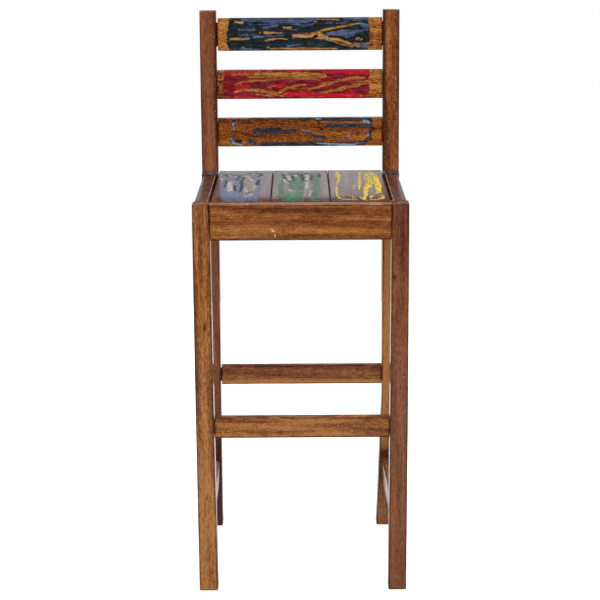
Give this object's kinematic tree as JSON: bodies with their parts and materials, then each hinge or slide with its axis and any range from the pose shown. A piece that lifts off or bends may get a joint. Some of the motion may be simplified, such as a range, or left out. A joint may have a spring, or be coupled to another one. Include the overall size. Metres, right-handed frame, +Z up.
{
  "type": "bar stool with footrest",
  "caption": "Tall wooden bar stool with a slatted back, a seat of painted reclaimed planks and a front footrest bar between straight square legs.",
  "frame": {"origin": "on the floor, at the centre of the stool's footprint box", "axes": "+Z up, -Y to the front where the footrest is, +X to the right as seen from the front"},
  "size_m": [0.403, 0.404, 1.088],
  "materials": {
    "frame_wood": "glossy clear lacquer over red-brown teak",
    "raw_wood": "plain unlacquered wood",
    "seat_paint_blue": "worn blue paint under clear lacquer on reclaimed wood",
    "seat_paint_green": "worn green paint under clear lacquer on reclaimed wood",
    "seat_paint_yellow": "worn yellow paint under clear lacquer on reclaimed wood",
    "slat_paint_teal": "worn dark teal paint under clear lacquer on reclaimed wood",
    "slat_paint_red": "worn crimson paint under clear lacquer on reclaimed wood",
    "slat_paint_slate": "mostly bare reclaimed wood with slate blue paint remnants under clear lacquer",
    "screw_steel": "zinc plated countersunk screws"
  },
  "bodies": {
    "root": {"front_leg_left": "frame_wood", "front_leg_right": "frame_wood", "rear_post_left": "frame_wood", "rear_post_right": "frame_wood", "front_apron": "frame_wood", "rear_apron": "frame_wood", "side_rail_left": "frame_wood", "side_rail_right": "frame_wood", "seat_plank_left": "seat_paint_blue", "seat_plank_middle": "seat_paint_green", "seat_plank_right": "seat_paint_yellow", "back_slat_top": "slat_paint_teal", "back_slat_middle": "slat_paint_red", "back_slat_bottom": "slat_paint_slate", "footrest_front": "frame_wood", "rear_stretcher": "frame_wood", "side_stretcher_left": "frame_wood", "side_stretcher_right": "frame_wood", "front_cleat": "raw_wood", "rear_cleat": "raw_wood", "plank_screws": "screw_steel", "cleat_screws": "screw_steel"}
  },
  "joints": []
}
